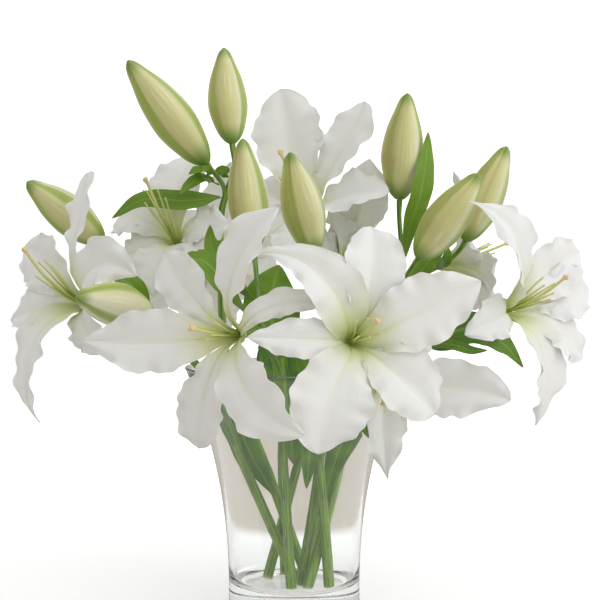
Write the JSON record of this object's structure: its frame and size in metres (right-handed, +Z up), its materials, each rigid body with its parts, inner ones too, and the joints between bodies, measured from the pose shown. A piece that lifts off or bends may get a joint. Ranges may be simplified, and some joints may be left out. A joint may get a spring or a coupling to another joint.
{
  "type": "lilies in a glass vase",
  "caption": "Bouquet of white lilies with open flowers, closed buds and leaves, standing in a clear flared glass vase with a thick bottom.",
  "frame": {"origin": "centre of the vase's underside, on the surface it stands on", "axes": "+Z up along the vase's axis, -Y towards the front of the bouquet, +X to the viewer's right"},
  "size_m": [0.4934, 0.441, 0.4762],
  "materials": {
    "glass": "polished",
    "petal": "satin",
    "pistil": "satin",
    "bud": "satin",
    "stem": "satin",
    "leaf": "satin"
  },
  "bodies": {
    "root": {"vase": "glass", "stem_1": "stem", "stem_2": "stem", "stem_3": "stem", "stem_4": "stem", "stem_5": "stem", "stem_6": "stem", "stem_7": "stem", "stem_8": "stem", "stem_9": "stem", "lily_front_left": "petal", "lily_front_right": "petal", "lily_low_right": "petal", "lily_right": "petal", "lily_left": "petal", "lily_back_left": "petal", "lily_top": "petal", "lily_centre_right": "petal", "lily_back_right": "petal", "lily_rear": "petal", "pistil_front_left": "pistil", "pistil_front_right": "pistil", "pistil_low_right": "pistil", "pistil_right": "pistil", "pistil_left": "pistil", "pistil_back_left": "pistil", "pistil_top": "pistil", "pistil_centre_right": "pistil", "pistil_back_right": "pistil", "pistil_rear": "pistil", "bud_1": "bud", "bud_2": "bud", "bud_3": "bud", "bud_4": "bud", "bud_5": "bud", "bud_6": "bud", "bud_7": "bud", "bud_8": "bud", "bud_9": "bud", "leaf_01": "leaf", "leaf_02": "leaf", "leaf_03": "leaf", "leaf_04": "leaf", "leaf_05": "leaf", "leaf_06": "leaf", "leaf_07": "leaf", "leaf_08": "leaf", "leaf_09": "leaf", "leaf_10": "leaf", "leaf_11": "leaf", "leaf_12": "leaf", "leaf_13": "leaf", "leaf_14": "leaf", "leaf_15": "leaf", "leaf_16": "leaf", "leaf_17": "leaf", "leaf_18": "leaf", "leaf_19": "leaf", "leaf_20": "leaf", "leaf_21": "leaf"}
  },
  "joints": []
}
